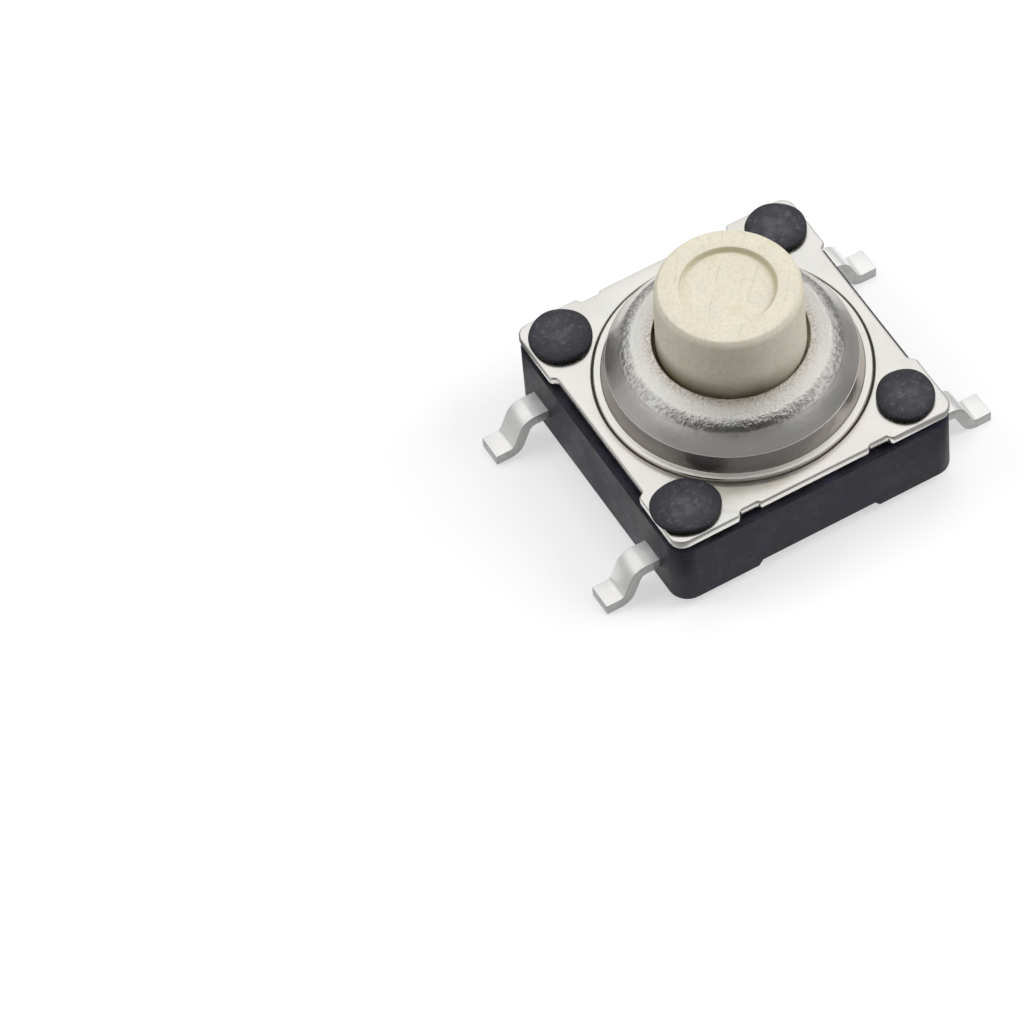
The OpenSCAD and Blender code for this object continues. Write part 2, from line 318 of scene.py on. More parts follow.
# Contact strips
# Two brass strips, stamped, bent to gull-wing leads and plated with bright tin. The front one carries the
# outer contacts that the snap dome stands on, the rear one the middle contact.

lead_shoulder = 0.3
bend_x = housing_w / 2 + lead_shoulder
upper_bend_r = 0.14
lower_bend_r = 0.12
leg_lean = math.radians(23)
foot_len = 0.309
edge_round = 0.016
tip_x = 4.336
contact_low_z = strip_z + 0.05
middle_contact_rise = 0.03
rear_tab_past_middle = 0.36

# The flat faces carry bright tin; the sheared edges, which the press cut, are dull, and their grey is
# partly the cut metal and partly painted shade of these side faces
tin, tree, shader, place = new_material("bright tin", 0.3, 0.65)
folded = vector_step(tree, "ABSOLUTE", place).outputs[0]
apart = tree_node(tree, "ShaderNodeSeparateXYZ", {0: folded})
off_middle = calculate(tree, "ABSOLUTE", calculate(tree, "SUBTRACT", apart.outputs["Y"], lead_y))
sheared_and_shaded_side = spread(tree, off_middle, lead_w / 2 - edge_round, lead_w / 2 - edge_round + 0.01)
sheared_and_shaded_end = spread(tree, apart.outputs["X"], tip_x - edge_round, tip_x - edge_round + 0.01)
sheared_and_shaded = calculate(tree, "MAXIMUM", sheared_and_shaded_side, sheared_and_shaded_end)
cloud = noise(tree, place, 2.2, 3)
dull = noise(tree, place, 5, 3)
rolled = tree_node(tree, "ShaderNodeMapping", {"Vector": place, "Scale": (2, 26, 2)}).outputs[0]
lines = noise(tree, rolled, 1, 2)
torn_place = tree_node(tree, "ShaderNodeMapping", {"Vector": place, "Scale": (14, 14, 4)}).outputs[0]
torn = noise(tree, torn_place, 1, 3)
colour = mix_colours(tree, cloud, (0.92, 0.91, 0.89, 1), (0.99, 0.985, 0.975, 1))
# Partly painted shade: the grey of the cut sides and ends
cut_edge_and_shade_colour = mix_colours(tree, torn, (0.36, 0.355, 0.345, 1), (0.6, 0.59, 0.58, 1))
tree.links.new(mix_colours(tree, sheared_and_shaded, colour, cut_edge_and_shade_colour), shader.inputs["Base Color"])
smooth = spread(tree, dull, 0.3, 0.7, 0.3, 0.4)
smooth = calculate(tree, "ADD", smooth, times(tree, sheared_and_shaded, 0.05))
tree.links.new(smooth, shader.inputs["Roughness"])
edge_bump = bump(tree, times(tree, torn, sheared_and_shaded), 0.006)
rolled_bump = bump(tree, lines, 0.0005, edge_bump)
tree.links.new(bump(tree, dull, 0.0015, rolled_bump), shader.inputs["Normal"])


def push(bm, face, vec):
    made = bmesh.ops.extrude_face_region(bm, geom=[face])["geom"]
    bmesh.ops.translate(bm, vec=vec, verts=[v for v in made if isinstance(v, bmesh.types.BMVert)])
    if face.is_valid:
        bmesh.ops.delete(bm, geom=[face], context="FACES_ONLY")
    return [f for f in made if isinstance(f, bmesh.types.BMFace)][0]


def turn_face(bm, face, centre, angle, steps):
    made = bmesh.ops.spin(
        bm, geom=[face], cent=centre, axis=(0, 1, 0), dvec=(0, 0, 0), angle=angle, steps=steps,
        space=Matrix.Identity(4), use_normal_flip=False, use_duplicate=False, use_merge=False,
    )["geom_last"]
    if face.is_valid:
        bmesh.ops.delete(bm, geom=[face], context="FACES_ONLY")
    return [f for f in made if isinstance(f, bmesh.types.BMFace)][0]


def strip_with_leads(y, tab_edges, tab_length):
    upper_middle_r = upper_bend_r + strip_t / 2
    lower_middle_r = lower_bend_r + strip_t / 2
    leg_top_z = strip_z - upper_bend_r + upper_middle_r * math.sin(leg_lean)
    leg_foot_z = strip_t + lower_bend_r - lower_middle_r * math.sin(leg_lean)
    bend = math.pi / 2 - leg_lean
    bm = block_tool((-bend_x, y - lead_w / 2, strip_z), (bend_x, y + lead_w / 2, strip_z + strip_t))
    for side in (-1, 1):
        face = max(bm.faces, key=lambda f: side * f.calc_center_median().x)
        face = turn_face(bm, face, (side * bend_x, y, strip_z - upper_bend_r), side * bend, 8)
        drop = leg_top_z - leg_foot_z
        face = push(bm, face, (side * drop * math.tan(leg_lean), 0, -drop))
        lower = face.calc_center_median()
        lower.x += side * lower_middle_r * math.cos(leg_lean)
        lower.z += lower_middle_r * math.sin(leg_lean)
        face = turn_face(bm, face, lower, -side * bend, 8)
        push(bm, face, (side * foot_len, 0, 0))
    inward = -1 if y > 0 else 1
    for x in tab_edges:
        everything = bm.verts[:] + bm.edges[:] + bm.faces[:]
        bmesh.ops.bisect_plane(bm, geom=everything, plane_co=(x, 0, 0), plane_no=(1, 0, 0))
    bmesh.ops.remove_doubles(bm, verts=bm.verts, dist=weld)
    bmesh.ops.recalc_face_normals(bm, faces=bm.faces)
    for low, high in zip(tab_edges[::2], tab_edges[1::2]):
        side_faces = [
            f for f in bm.faces
            if f.normal.y * inward > 0.9 and low < f.calc_center_median().x < high
        ]
        push(bm, side_faces[0], (0, inward * tab_length, 0))
    corners = [e for e in bm.edges if e.calc_face_angle(0) > 1]
    bmesh.ops.bevel(
        bm, geom=corners, offset=edge_round, segments=3, profile=0.5, affect="EDGES", material=-1,
        clamp_overlap=True,
    )
    return bm


arm_edges = [side * contact_x + edge * contact_r for side in (-1, 1) for edge in (-1, 1)]
front = strip_with_leads(-lead_y, arm_edges, lead_y - lead_w / 2 + contact_r)
contacts = [
    disc_tool(-contact_x, 0, contact_r, contact_low_z, well_floor_z, 48),
    disc_tool(contact_x, 0, contact_r, contact_low_z, well_floor_z, 48),
]
front = machine(front, contacts, "UNION")
side_strip = finish_piece("front_contact_strip", front, tin, "contact_strip_side")
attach(side_strip, "housing")
tab_edges = (-middle_contact_r, middle_contact_r)
rear = strip_with_leads(lead_y, tab_edges, lead_y - lead_w / 2 + rear_tab_past_middle)
contact_top_z = well_floor_z + middle_contact_rise
rear = machine(rear, [disc_tool(0, 0, middle_contact_r, contact_low_z, contact_top_z, 48)], "UNION")
centre_strip = finish_piece("rear_contact_strip", rear, tin, "contact_strip_centre")
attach(centre_strip, "housing")


# Snap dome
# A thin disc of spring steel, pressed to a shallow dome. It stands loose on the outer contacts and
# snaps down onto the middle contact.

snap_r = 1.95
snap_rise = 0.29
snap_t = 0.07
snap_steps = 12


# A line of points, each given as its radius, its height and the length of its corner's rounding
def rounded_line(points):
    bm = bmesh.new()
    corners = [bm.verts.new((r, 0, z)) for r, z, rounding in points]
    for a, b in zip(corners, corners[1:]):
        bm.edges.new((a, b))
    for corner, (r, z, rounding) in zip(corners, points):
        if rounding:
            bmesh.ops.bevel(
                bm, geom=[corner], offset=rounding, offset_type="OFFSET", segments=6, profile=0.5,
                affect="VERTICES", material=-1,
            )
    return bm


def turned(points, steps):
    bm = rounded_line(points)
    bmesh.ops.spin(
        bm, geom=bm.verts[:] + bm.edges[:], cent=(0, 0, 0), axis=(0, 0, 1), dvec=(0, 0, 0),
        angle=math.tau, steps=steps, space=Matrix.Identity(4), use_normal_flip=False,
        use_duplicate=False, use_merge=True,
    )
    bmesh.ops.remove_doubles(bm, verts=bm.verts, dist=weld)
    return bm


steel, tree, shader, place = new_material("spring steel", 0.25, 1)
grain = noise(tree, place, 22, 3)
rings = tree_node(tree, "ShaderNodeTexWave", {
    "Vector": place, "Scale": 9, "Distortion": 1.5, "Detail": 2,
}, wave_type="RINGS", rings_direction="Z").outputs["Fac"]
colour = mix_colours(tree, grain, (0.5, 0.49, 0.47, 1), (0.66, 0.65, 0.62, 1))
tree.links.new(colour, shader.inputs["Base Color"])
tree.links.new(spread(tree, grain, 0.3, 0.7, 0.18, 0.32), shader.inputs["Roughness"])
tree.links.new(bump(tree, rings, 0.001), shader.inputs["Normal"])

under_r = (snap_r ** 2 + snap_rise ** 2) / (2 * snap_rise)
outer = []
inner = []
for step in range(snap_steps + 1):
    r = snap_r * step / snap_steps
    sag = under_r - math.sqrt(under_r ** 2 - r ** 2)
    inner.append((r, well_floor_z + snap_rise - sag, 0))
    outer.append((r, well_floor_z + snap_rise + snap_t - sag, 0))
bm = turned(inner + outer[::-1], 96)
snap = finish_piece("snap_dome_disc", bm, steel, "snap_dome")
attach(snap, "housing")
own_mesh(snap)


# Rubber seal
# A soft black rubber ring, moulded in one with a thin web that covers the snap dome. Its rim is clamped
# between the housing and the cover.

seal_in_r = 2.05
seal_out_r = 2.62
seal_centre_r = 0.95
seal_centre_z = 1.32
seal_web_t = 0.12
seal_web_z = 1.6

rubber, tree, shader, place = new_material("seal rubber", 0.6, 0)
grain = noise(tree, place, 14, 4)
colour = mix_colours(tree, grain, (0.018, 0.018, 0.019, 1), (0.04, 0.04, 0.042, 1))
tree.links.new(colour, shader.inputs["Base Color"])
tree.links.new(spread(tree, grain, 0.3, 0.7, 0.5, 0.7), shader.inputs["Roughness"])
tree.links.new(bump(tree, grain, 0.004), shader.inputs["Normal"])

bm = turned([
    (0, seal_centre_z, 0), (seal_centre_r, seal_centre_z, 0.06), (seal_in_r, seal_web_z, 0.04),
    (seal_in_r, seal_shelf_z, 0.03), (seal_out_r, seal_shelf_z, 0.04), (seal_out_r, seat_z, 0.04),
    (seal_in_r, seat_z, 0.04), (seal_in_r, seal_web_z + seal_web_t, 0.04),
    (seal_centre_r, seal_centre_z + seal_web_t, 0.06), (0, seal_centre_z + seal_web_t, 0),
], 96)
seal = finish_piece("rubber_seal", bm, rubber, "seal_rubber")
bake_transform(seal)


# Button
# A plunger moulded in ivory plastic, with a flange that keeps it under the cover and a stem that presses
# on the seal. Its top has a shallow round recess left by the mould's insert.

button_r = 1.46
button_top_r = 1.43
button_top_z = 4.64
button_edge_r = 1.35
button_edge_h = 0.12
recess_r = 0.945
recess_depth = 0.11
recess_slope = 0.045
flange_r = 1.85
flange_z = 2.46
flange_top_z = 2.81
stem_r = 0.75
stem_z = 1.46
hole_top_z = 3.13


def from_axis(tree, place):
    flat_place = vector_step(tree, "MULTIPLY", place, (1, 1, 0)).outputs[0]
    return vector_step(tree, "LENGTH", flat_place).outputs["Value"]


def along(tree, place, way):
    return vector_step(tree, "DOT_PRODUCT", place, way).outputs["Value"]


ivory, tree, shader, place = new_material("ivory plastic", 0.5, 0)
shader.inputs["Specular IOR Level"].default_value = 0.35
apart = tree_node(tree, "ShaderNodeSeparateXYZ", {0: place})
radius = from_axis(tree, place)
cloud = noise(tree, place, 1.1, 3)
mottle = noise(tree, place, 2.6, 4, 0.6)
grain = noise(tree, place, 13, 4, 0.65)
pores = spread(tree, noise(tree, place, 22, 2), 0.6, 0.72)

# Fine flow lines and hair cracks run one way across the moulding, the cracks only in its top
turned_place = tree_node(tree, "ShaderNodeMapping", {
    "Vector": place, "Rotation": (0, 0, math.radians(38)),
}).outputs[0]
lengthways = tree_node(tree, "ShaderNodeMapping", {
    "Vector": turned_place, "Scale": (9, 0.9, 1.5),
}).outputs[0]
flow = noise(tree, lengthways, 1, 3, 0.6)
cracks = tree_node(tree, "ShaderNodeTexWave", {
    "Vector": turned_place, "Scale": 0.45, "Distortion": 4.5, "Detail": 2, "Detail Scale": 0.8,
    "Detail Roughness": 0.55,
}, wave_type="BANDS", bands_direction="X").outputs["Fac"]
cracked = spread(tree, mottle, 0.42, 0.56)
cracks = times(tree, spread(tree, cracks, 0.994, 1.0), cracked)
on_top = spread(tree, apart.outputs["Z"], button_top_z - 0.2, button_top_z - 0.12)
cracks = times(tree, cracks, on_top)

# Painted shade: the corner of the recess is darkened olive, more on one side, with a thin dark line at
# its rim, and the foot is darkened on one side
rising = spread(tree, radius, recess_r - 0.1, recess_r - 0.05)
falling = spread(tree, radius, recess_r + 0.01, recess_r)
painted_recess_shade = times(tree, times(tree, rising, falling), on_top)
below_top = spread(tree, apart.outputs["Z"], button_top_z, button_top_z - 0.05)
painted_recess_shade = times(tree, painted_recess_shade, below_top)
rising = spread(tree, radius, recess_r - 0.03, recess_r - 0.01)
falling = spread(tree, radius, recess_r + 0.02, recess_r)
painted_rim_shade_line = times(tree, times(tree, rising, falling), on_top)
painted_recess_shade = times(tree, painted_recess_shade, spread(tree, along(tree, place, (0.82, 0.57, 0)), -0.7, 0.5))
# Painted shade at the foot of the button, darkest on the left
shaded_foot_side = spread(tree, along(tree, place, (-0.98, -0.2, 0)), -0.8, 0.6, 0.05, 1)
painted_foot_shade = spread(tree, apart.outputs["Z"], hole_top_z + 0.55, hole_top_z - 0.05)
painted_foot_shade = times(tree, painted_foot_shade, shaded_foot_side)
painted_foot_shade = times(tree, painted_foot_shade, spread(tree, cloud, 0.2, 0.6, 0.75, 1))

colour = mix_colours(tree, cloud, (0.735, 0.69, 0.555, 1), (0.80, 0.755, 0.625, 1))
colour = mix_colours(tree, spread(tree, mottle, 0.5, 0.68, 0, 0.45), colour, (0.70, 0.68, 0.60, 1))
colour = mix_colours(tree, spread(tree, mottle, 0.48, 0.32, 0, 0.35), colour, (0.68, 0.62, 0.42, 1))
colour = mix_colours(tree, spread(tree, grain, 0.4, 0.7, 0, 0.4), colour, (0.58, 0.53, 0.41, 1))
colour = mix_colours(tree, spread(tree, flow, 0.5, 0.75, 0, 0.28), colour, (0.66, 0.60, 0.45, 1))
colour = mix_colours(tree, times(tree, pores, 0.3), colour, (0.5, 0.45, 0.34, 1))
colour = mix_colours(tree, times(tree, cracks, 0.28), colour, (0.45, 0.38, 0.26, 1))
# Painted shade in the recess: a thin dark line at its rim and its darker corner
colour = mix_colours(tree, times(tree, painted_rim_shade_line, 0.3), colour, (0.5, 0.44, 0.28, 1))
colour = mix_colours(tree, times(tree, painted_recess_shade, 0.6), colour, (0.52, 0.46, 0.26, 1))
# Painted shade at the foot
colour = mix_colours(tree, painted_foot_shade, colour, (0.24, 0.205, 0.13, 1))
tree.links.new(colour, shader.inputs["Base Color"])
tree.links.new(spread(tree, grain, 0.3, 0.7, 0.42, 0.6), shader.inputs["Roughness"])
tree.links.new(bump(tree, grain, 0.009, bump(tree, cracks, -0.0015)), shader.inputs["Normal"])

bm = turned([
    (0, stem_z, 0), (stem_r, stem_z, 0.06), (stem_r, flange_z, 0.03), (flange_r, flange_z, 0.05),
    (flange_r, flange_top_z, 0.05), (button_r, flange_top_z, 0.02),
    (button_top_r, button_top_z - button_edge_h, 0.06), (button_edge_r, button_top_z, 0.03),
    (recess_r, button_top_z, 0.015), (recess_r - recess_slope, button_top_z - recess_depth, 0.02),
    (0, button_top_z - recess_depth, 0),
], 160)
button = finish_piece("button_plunger", bm, ivory, "button")
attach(button, "button")


# Cover
# One pressing of nickel-plated steel: a flat plate with relief notches in its edges, and a dome drawn up
# in its middle for the button. A coined groove runs round the dome, and the stretched metal is rough.

cover_half = 3.1
cover_corner = 0.28
tab_half = 1.202
tab_back = 0.05
notch_start = 1.24
notch_end = 1.63
notch_slope = 0.07
notch_back = 0.11
side_recess_half = 1.6
side_recess_slope = 0.08
side_recess_back = 0.13
cover_top_z = 2.07
cover_bottom_z = 1.87
plate_circle_r = 2.9
groove_out_r = 2.75
groove_bottom_r = 2.72
groove_in_r = 2.685
groove_depth = 0.07
ledge_h = 0.03
dome_foot_r = 2.55
hole_r = 1.52
hole_rise = 1.055
dome_t = 0.17
post_xy = 2.46
post_hole_r = 0.45
edge_roll = 0.045


def take_in(bm, part):
    mesh = bpy.data.meshes.new("part")
    part.to_mesh(mesh)
    part.free()
    bm.from_mesh(mesh)
    bpy.data.meshes.remove(mesh)


def ring(inside, low, high, outside):
    return times(tree, spread(tree, radius, inside, low), spread(tree, radius, outside, high))


plated, tree, shader, place = new_material("nickel-plated steel", 0.28, 1)
radius = from_axis(tree, place)
crown = spread(tree, radius, 2.2, 1.95)
hole_rim = spread(tree, radius, 1.82, 1.53)
shoulder = ring(1.84, 1.97, 2.12, 2.22)
wall = ring(2.1, 2.2, 2.54, 2.56)
lower_wall = ring(2.44, 2.46, 2.54, 2.555)
groove = ring(2.69, 2.705, 2.73, 2.745)
cloud = noise(tree, place, 1.2, 3)
tint = noise(tree, place, 1.7, 2)
fine = noise(tree, place, 22, 3, 0.6)
peel = noise(tree, place, 11, 1.5, 0.4)
dents = noise(tree, place, 2.6, 2)
streak_place = tree_node(tree, "ShaderNodeMapping", {"Vector": place, "Scale": (1, 1, 11)}).outputs[0]
streaks = noise(tree, streak_place, 1, 3, 0.6)
clouded = spread(tree, cloud, 0.35, 0.65)
colour = mix_colours(tree, clouded, (0.82, 0.795, 0.745, 1), (0.88, 0.86, 0.82, 1))
colour = mix_colours(tree, spread(tree, tint, 0.52, 0.7, 0, 0.5), colour, (0.88, 0.82, 0.79, 1))
colour = mix_colours(tree, spread(tree, tint, 0.48, 0.3, 0, 0.5), colour, (0.80, 0.82, 0.79, 1))
# Painted reflection: the dome's wall is tinted darker all round, for the darker surroundings it mirrors
colour = mix_colours(tree, times(tree, wall, 0.4), colour, (0.76, 0.735, 0.705, 1))
# Painted shade: the lower wall of the dome is darkened brownish grey, darkest on the left
shaded_wall_side = spread(tree, along(tree, place, (-0.98, -0.2, 0)), -1.5, 2.2)
painted_lower_wall_shade = mix_colours(tree, shaded_wall_side, (0.66, 0.61, 0.58, 1), (0.28, 0.255, 0.24, 1))
colour = mix_colours(tree, times(tree, lower_wall, 0.8), colour, painted_lower_wall_shade)
# Painted shade: the coined groove is darkened to a thin dark line
colour = mix_colours(tree, times(tree, groove, 0.9), colour, (0.22, 0.2, 0.18, 1))
wrinkles = times(tree, ring(1.9, 2.03, 2.13, 2.2), spread(tree, peel, 0.62, 0.4, 0.35, 0.8))
colour = mix_colours(tree, wrinkles, colour, (0.4, 0.39, 0.38, 1))
# Painted reflection: brownish flecks on the frosted metal round the hole, for the button mirrored there
painted_button_reflection = times(tree, hole_rim, spread(tree, fine, 0.4, 0.6, 0.2, 0.85))
colour = mix_colours(tree, painted_button_reflection, colour, (0.45, 0.38, 0.32, 1))
tree.links.new(colour, shader.inputs["Base Color"])
satin = spread(tree, cloud, 0.3, 0.7, 0.22, 0.3)
satin = calculate(tree, "ADD", satin, times(tree, spread(tree, radius, 2.05, 1.8), 0.1))
satin = calculate(tree, "ADD", satin, times(tree, wall, 0.08))
tree.links.new(satin, shader.inputs["Roughness"])
frost = bump(tree, times(tree, fine, spread(tree, crown, 0, 1, 0.01, 1)), 0.012)
rough = bump(tree, times(tree, peel, spread(tree, shoulder, 0, 1, 0.02, 1)), 0.013, frost)
wavy = bump(tree, times(tree, dents, spread(tree, wall, 0, 1, 0.12, 1)), 0.02, rough)
drawn = bump(tree, times(tree, streaks, spread(tree, lower_wall, 0, 1, 0.05, 1)), 0.004, wavy)
tree.links.new(drawn, shader.inputs["Normal"])

# A quarter of the plate's outline, from the middle of the back edge to the middle of the right edge. Each
# point is given as x, y and the length of its corner's rounding.
bm = bmesh.new()
outline = [
    (0, cover_half - tab_back, 0), (tab_half, cover_half - tab_back, 0.03),
    (notch_start, cover_half - notch_back, 0.03), (notch_end, cover_half - notch_back, 0.03),
    (notch_end + notch_slope, cover_half, 0.05), (cover_half, cover_half, cover_corner),
    (cover_half, side_recess_half + side_recess_slope, 0.06),
    (cover_half - side_recess_back, side_recess_half, 0.06), (cover_half - side_recess_back, 0, 0),
]
corners = [bm.verts.new((x, y, cover_bottom_z)) for x, y, rounding in outline]
for a, b in zip(corners, corners[1:]):
    bm.edges.new((a, b))
for corner, (x, y, rounding) in zip(corners, outline):
    if rounding:
        bmesh.ops.bevel(
            bm, geom=[corner], offset=rounding, offset_type="OFFSET", segments=5, profile=0.5,
            affect="VERTICES", material=-1,
        )
for axis in ("X", "Y"):
    bmesh.ops.mirror(bm, geom=bm.verts[:] + bm.edges[:], axis=axis, merge_dist=0.001)
plate = bmesh.ops.contextual_create(bm, geom=bm.edges[:])["faces"][0]
push(bm, plate, (0, 0, cover_top_z - cover_bottom_z))
underside = [e for e in bm.edges if max(v.co.z for v in e.verts) < cover_bottom_z + near]
bmesh.ops.contextual_create(bm, geom=underside)
rims = [e for e in bm.edges if abs(e.verts[0].co.z - e.verts[1].co.z) < near]
bmesh.ops.bevel(bm, geom=rims, offset=edge_roll, segments=4, profile=0.5, affect="EDGES", material=-1)
flats = [f for f in bm.faces if len(f.verts) > 20]
bmesh.ops.delete(bm, geom=flats, context="FACES_ONLY")

# The section of the drawn metal as radius, height above the plate and length of rounding: the plate and
# its groove, the dome's outside up to the hole, and its inside back down to the plate
section = [
    (plate_circle_r, 0, 0), (plate_circle_r - 0.05, 0, 0.03), (groove_out_r, -0.012, 0.01),
    (groove_bottom_r, -groove_depth, 0.006), (groove_in_r, ledge_h, 0.012), (dome_foot_r, ledge_h, 0.02),
    (2.461, 0.412, 0.003), (2.448, 0.416, 0.003), (2.33, 0.62, 0.09), (2.2, 0.78, 0.07),
    (2.1, 0.86, 0.05), (1.93, 0.935, 0.07), (1.75, 0.995, 0.08), (hole_r, hole_rise, 0.04),
    (hole_r, hole_rise - dome_t, 0.02), (1.897, 0.79, 0.05), (2.0, 0.74, 0.05), (2.29, 0.36, 0.05),
    (2.384, cover_bottom_z - cover_top_z, 0.02), (plate_circle_r, cover_bottom_z - cover_top_z, 0),
]
drawn_part = turned([(r, cover_top_z + rise, rounding) for r, rise, rounding in section], 160)
holes = []
for x in (-post_xy, post_xy):
    for y in (-post_xy, post_xy):
        hole = disc_tool(x, y, post_hole_r, cover_bottom_z, cover_top_z, 48)
        ends = [f for f in hole.faces if len(f.verts) > 4]
        bmesh.ops.delete(hole, geom=ends, context="FACES_ONLY")
        holes.append(hole)
for part in [drawn_part] + holes:
    take_in(bm, part)
for level in (cover_bottom_z, cover_top_z):
    open_edges = [
        e for e in bm.edges
        if e.is_boundary and all(abs(v.co.z - level) < near for v in e.verts)
    ]
    bmesh.ops.triangle_fill(bm, use_beauty=True, use_dissolve=False, edges=open_edges, normal=(0, 0, 1))
cover = finish_piece("cover_pressing", bm, plated, "cover_plate")
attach(cover, "housing")


# Staked heads
# Four posts of the housing pass through the cover. Their ends are melted down with a hot tool into low
# round heads, which hold the switch together. Each has come out a little different.

post_r = 0.4
post_foot_z = rim_z + 0.005
head_foot_z = cover_top_z + 0.005
head_h = 0.17

# Each head by the place of its middle and its half widths across and along deep_way
heads = [
    (-2.43, 2.42, 0.64, 0.65), (-2.48, -2.39, 0.7, 0.645), (2.42, -2.39, 0.57, 0.635),
    (2.46, 2.46, 0.61, 0.61),
]
deep_way = Vector((0.43, 0.9)).normalized()

melted, tree, shader, place = new_material("melted nylon", 0.45, 0)
shader.inputs["Specular IOR Level"].default_value = 0.4
folded = vector_step(tree, "ABSOLUTE", place).outputs[0]
head_middle = (post_xy, post_xy, cover_top_z + 0.15)
from_head = vector_step(tree, "DISTANCE", folded, head_middle).outputs["Value"]
middle = spread(tree, from_head, 0.62, 0.05)
mottle = noise(tree, place, 4.5, 3, 0.55)
grain = noise(tree, place, 20, 3)
scuffs = noise(tree, place, 8, 4, 0.65)
# Painted highlight: lighter mottled specks towards the middle of each head's top
painted_highlight_specks = times(tree, spread(tree, mottle, 0.3, 0.75, 0.35, 1), middle)
scuffed = times(tree, spread(tree, scuffs, 0.53, 0.68), spread(tree, from_head, 0.68, 0.45))
apart = tree_node(tree, "ShaderNodeSeparateXYZ", {0: place})
# Painted shade: the low sides of the heads, under their tops, darken almost to black
low = spread(tree, apart.outputs["Z"], cover_top_z + 0.13, cover_top_z + 0.09)
colour = mix_colours(tree, mottle, (0.0125, 0.012, 0.0165, 1), (0.031, 0.0295, 0.039, 1))
colour = mix_colours(tree, times(tree, painted_highlight_specks, 0.55), colour, (0.12, 0.117, 0.135, 1))
colour = mix_colours(tree, times(tree, scuffed, 0.4), colour, (0.15, 0.147, 0.165, 1))
# Painted shade on the heads' low sides
colour = mix_colours(tree, times(tree, low, 0.85), colour, (0.004, 0.003, 0.0035, 1))
tree.links.new(colour, shader.inputs["Base Color"])
tree.links.new(spread(tree, grain, 0.3, 0.7, 0.36, 0.56), shader.inputs["Roughness"])
tree.links.new(bump(tree, grain, 0.004, bump(tree, mottle, 0.02)), shader.inputs["Normal"])

bm = bmesh.new()
for number, (x, y, r, deep_r) in enumerate(heads):
    head = turned([
        (0, post_foot_z, 0), (post_r, post_foot_z, 0), (post_r, head_foot_z, 0),
        (r - 0.07, head_foot_z, 0.01), (r, cover_top_z + 0.06, 0.03),
        (r - 0.012, cover_top_z + 0.115, 0.02), (r - 0.11, cover_top_z + 0.155, 0.06),
        (0, cover_top_z + head_h, 0),
    ], 64)
    post = Vector((math.copysign(post_xy, x), math.copysign(post_xy, y), 0))
    for vert in head.verts:
        angle = math.atan2(vert.co.y, vert.co.x)
        out = vert.co.xy.length / r
        if out > 0.7 and vert.co.z > cover_top_z:
            oval = 0.014 * math.sin(2 * angle + number)
            lobes = 0.01 * math.sin(5 * angle + 2.3 * number)
            vert.co.xy *= 1 + out * (oval + lobes)
        if vert.co.z > cover_top_z:
            vert.co.xy += vert.co.xy.dot(deep_way) * (deep_r / r - 1) * deep_way
            vert.co.xy += Vector((x, y)) - post.xy
    bmesh.ops.translate(head, vec=post, verts=head.verts)
    take_in(bm, head)
staked = finish_piece("staked_heads", bm, melted, "base_housing")
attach(staked, "housing")


# Studio
# A white floor and soft light from above and from both sides, less on the camera's side. Seen only in
# reflections are a white tent, grey low down and dark round the camera, and a low grey card and mat.

floor_size = 0.3
floor_colour = (0.5, 0.5, 0.5, 1)
floor_glow = 0.54
room_light = 0.28
tent_r = 0.25
card_r = 0.012
card_h = 0.004
mat_in_r = 0.0051
mat_h = 0.00005
lamp_distance = 0.17
lamp_size = 0.1
horizon = (0.27, 0.27, 0.27, 1)
left_horizon = (0.42, 0.42, 0.42, 1)
dark_corner = (0.12, 0.12, 0.12, 1)
back_horizon = (0.42, 0.42, 0.42, 1)

level_back = Vector((back.x, back.y, 0)).normalized()


def empty_material(name):
    material = bpy.data.materials.new(name)
    material.use_nodes = True
    material.node_tree.nodes.clear()
    return material, material.node_tree


# One for what is seen directly, mirrored or looked at through glass, and nought for what only lights
def in_view(tree):
    path = tree_node(tree, "ShaderNodeLightPath", {})
    seen = calculate(tree, "MAXIMUM", path.outputs["Is Camera Ray"], path.outputs["Is Glossy Ray"])
    return calculate(tree, "MAXIMUM", seen, path.outputs["Is Transmission Ray"])


floor_paint, tree = empty_material("floor paint")
paint = tree_node(tree, "ShaderNodeBsdfDiffuse", {"Color": floor_colour})
glow = tree_node(tree, "ShaderNodeEmission", {
    "Color": (1, 1, 1, 1), "Strength": times(tree, in_view(tree), floor_glow),
})
both = tree_node(tree, "ShaderNodeAddShader", {0: paint.outputs[0], 1: glow.outputs[0]})
tree_node(tree, "ShaderNodeOutputMaterial", {"Surface": both.outputs[0]})
bm = bmesh.new()
bmesh.ops.create_grid(bm, x_segments=1, y_segments=1, size=floor_size / 2)
floor = add_object("floor", bm)
floor.data.materials.append(floor_paint)


# The way from the switch outwards to each point of the tent and cards
def way_out(tree):
    place = tree_node(tree, "ShaderNodeTexCoord", {}).outputs["Object"]
    return vector_step(tree, "NORMALIZE", place).outputs[0]


def shine(tree, light):
    glow = tree_node(tree, "ShaderNodeEmission", {"Color": light, "Strength": 1})
    tree_node(tree, "ShaderNodeOutputMaterial", {"Surface": glow.outputs[0]})


# The light of the tent and cards low down: grey, paler on the left and darkest behind that
def low_light(tree, outward):
    leftward = along(tree, outward, -level_right)
    corner_way = (-0.77 * level_right - 0.64 * level_back).normalized()
    cornerward = along(tree, outward, corner_way)
    light = mix_colours(tree, spread(tree, leftward, 0.78, 0.97), horizon, left_horizon)
    return mix_colours(tree, spread(tree, cornerward, 0.84, 0.97), light, dark_corner)


def reflected_only(name, bm, paint):
    made = add_object(name, bm)
    made.data.materials.append(paint)
    made.visible_camera = False
    made.visible_diffuse = False
    made.visible_shadow = False
    made.visible_transmission = False
    made.visible_volume_scatter = False


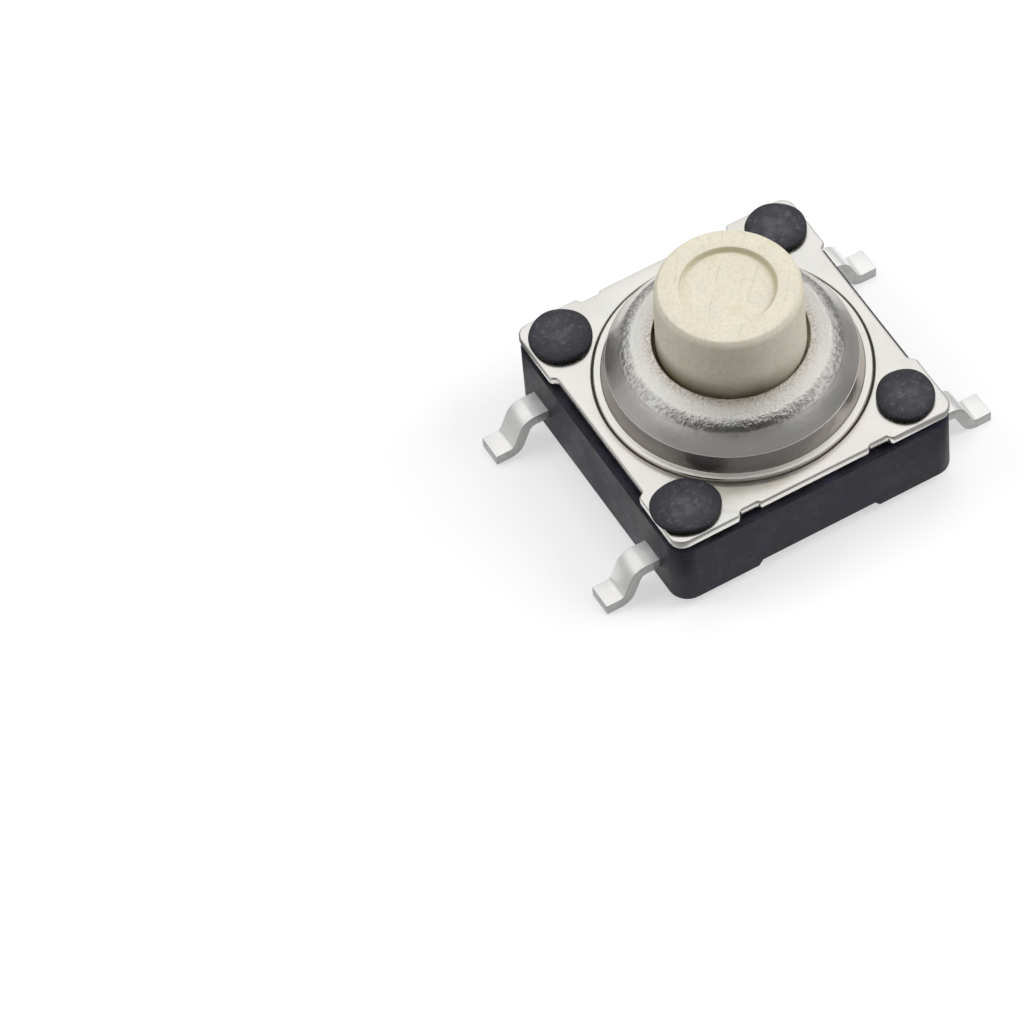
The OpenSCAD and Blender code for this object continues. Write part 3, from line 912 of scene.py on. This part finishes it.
cloth, tree = empty_material("tent cloth")
outward = way_out(tree)
height = tree_node(tree, "ShaderNodeSeparateXYZ", {0: outward}).outputs["Z"]
dark_rise = math.radians(60)
dark_way = level_back * math.cos(dark_rise) + Vector((0, 0, math.sin(dark_rise)))
backward = along(tree, outward, -level_back)
sideways = along(tree, outward, level_right)
toward_back = spread(tree, backward, 0.75, 0.95)
near_side = spread(tree, backward, -0.5, -0.9, 0, 0.3)
raised = spread(tree, calculate(tree, "SUBTRACT", height, near_side), 0.14, 0.8)
raised = calculate(tree, "MAXIMUM", raised, toward_back)
light = mix_colours(tree, raised, low_light(tree, outward), (1, 1, 1, 1))

# The dark patch is wider than high
from_dark = vector_step(tree, "SUBTRACT", outward, dark_way).outputs[0]
narrowed = tree_node(tree, "ShaderNodeVectorMath", {
    0: level_right, "Scale": times(tree, sideways, 0.45),
}, operation="SCALE").outputs[0]
from_dark = vector_step(tree, "SUBTRACT", from_dark, narrowed).outputs[0]
distance_from_dark = vector_step(tree, "LENGTH", from_dark).outputs["Value"]
darkened = spread(tree, distance_from_dark, 0.62, 0.25, 0, 0.95)
light = mix_colours(tree, darkened, light, (0, 0, 0, 1))
shine(tree, light)
bm = bmesh.new()
bmesh.ops.create_icosphere(bm, subdivisions=4, radius=tent_r)
reflected_only("tent", bm, cloth)


# A card's paint, grey all round but for the side away from the camera
def card_paint(name, back_light):
    board, tree = empty_material(name)
    outward = way_out(tree)
    behind = spread(tree, along(tree, outward, -level_back), 0.6, 0.85)
    light = mix_colours(tree, behind, low_light(tree, outward), back_light)
    shine(tree, light)
    return board


bm = bmesh.new()
bmesh.ops.create_cone(bm, cap_ends=False, segments=96, radius1=card_r, radius2=card_r, depth=card_h)
bmesh.ops.translate(bm, vec=(0, 0, card_h / 2), verts=bm.verts)
reflected_only("grey_card", bm, card_paint("grey card", back_horizon))
bm = bmesh.new()
bmesh.ops.create_cone(bm, cap_ends=False, segments=96, radius1=mat_in_r, radius2=card_r, depth=mat_h)
bmesh.ops.translate(bm, vec=(0, 0, mat_h), verts=bm.verts)
reflected_only("grey_mat", bm, card_paint("grey mat", (1, 1, 1, 1)))

sky = bpy.data.worlds.new("white room")
bpy.context.scene.world = sky
sky.use_nodes = True
tree = sky.node_tree
background = tree.nodes["Background"]
background.inputs["Color"].default_value = (1, 1, 1, 1)
strength = spread(tree, in_view(tree), 0, 1, room_light, 1, "LINEAR")
tree.links.new(strength, background.inputs["Strength"])

# Each soft box by its name, its turn from the camera's side, its height angle and its power
for name, turn_away, rise, power in (
    ("softbox_top", 180, 70, 0.078), ("softbox_right", 95, 40, 0.175), ("softbox_left", -95, 40, 0.095),
):
    box = bpy.data.lights.new(name, "AREA")
    box.shape = "SQUARE"
    box.size = lamp_size
    box.energy = power
    way = Matrix.Rotation(math.radians(turn_away), 3, "Z") @ level_back
    way = way * math.cos(math.radians(rise)) + Vector((0, 0, math.sin(math.radians(rise))))
    lamp = bpy.data.objects.new(name, box)
    facing = way.to_track_quat("Z", "Y").to_matrix().to_4x4()
    lamp.matrix_world = Matrix.Translation(way * lamp_distance) @ facing
    lamp.visible_glossy = False
    bpy.context.collection.objects.link(lamp)

bpy.context.scene.view_settings.view_transform = "Standard"
